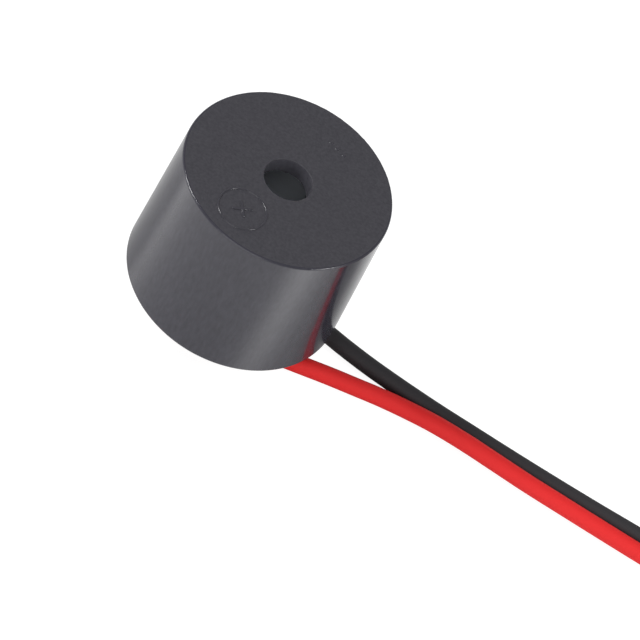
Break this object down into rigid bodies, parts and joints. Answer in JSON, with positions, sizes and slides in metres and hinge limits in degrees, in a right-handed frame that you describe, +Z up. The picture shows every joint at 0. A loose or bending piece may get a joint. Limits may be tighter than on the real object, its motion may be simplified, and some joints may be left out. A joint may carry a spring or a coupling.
{
  "type": "piezo buzzer",
  "caption": "Round black piezo buzzer with a sound hole in its flat top and red and black insulated leads from its sealed base; sounds a steady tone when powered.",
  "frame": {"origin": "on the table under the middle of the casing, which stands on its two leads", "axes": "+Z up along the casing's axis out of the sound hole, +X the way the leads run"},
  "size_m": [0.0531, 0.0164, 0.011],
  "materials": {
    "casing_plastic": "fine moulded satin, dark grey",
    "plate_nickel": "rolled nickel alloy",
    "silvered_ceramic": "fired ceramic with a printed silver face",
    "silicone": "cured silicone",
    "board_laminate": "green lacquered laminate",
    "chip_black": "moulded, matt",
    "tin": "tinned, satin",
    "ferrite": "pressed and sintered, dull",
    "copper": "lacquered copper wire",
    "compound": "cast epoxy, satin",
    "red_pvc": "extruded, satin",
    "black_pvc": "extruded, satin",
    "tie": "thin paper-faced band"
  },
  "bodies": {
    "root": {"casing": "casing_plastic", "bender_plate": "plate_nickel", "piezo_ceramic": "silvered_ceramic", "plate_seal": "silicone", "circuit_board": "board_laminate", "transistor_body": "chip_black", "transistor_legs": "tin", "base_resistor": "chip_black", "feedback_resistor": "chip_black", "bleed_resistor": "chip_black", "choke_core": "ferrite", "choke_winding": "copper", "plate_jumper": "copper", "electrode_jumper": "copper", "feedback_jumper": "copper", "disc_solder": "tin", "board_solder": "tin", "lead_solder": "tin", "red_lead_core": "tin", "black_lead_core": "tin", "potting": "compound", "red_lead_root": "red_pvc", "black_lead_root": "black_pvc", "red_lead": "red_pvc", "black_lead": "black_pvc", "lead_coil": "black_pvc", "red_lead_tail": "red_pvc", "black_lead_tail": "black_pvc", "red_lead_tip": "tin", "black_lead_tip": "tin", "coil_tie": "tie"}
  },
  "joints": []
}
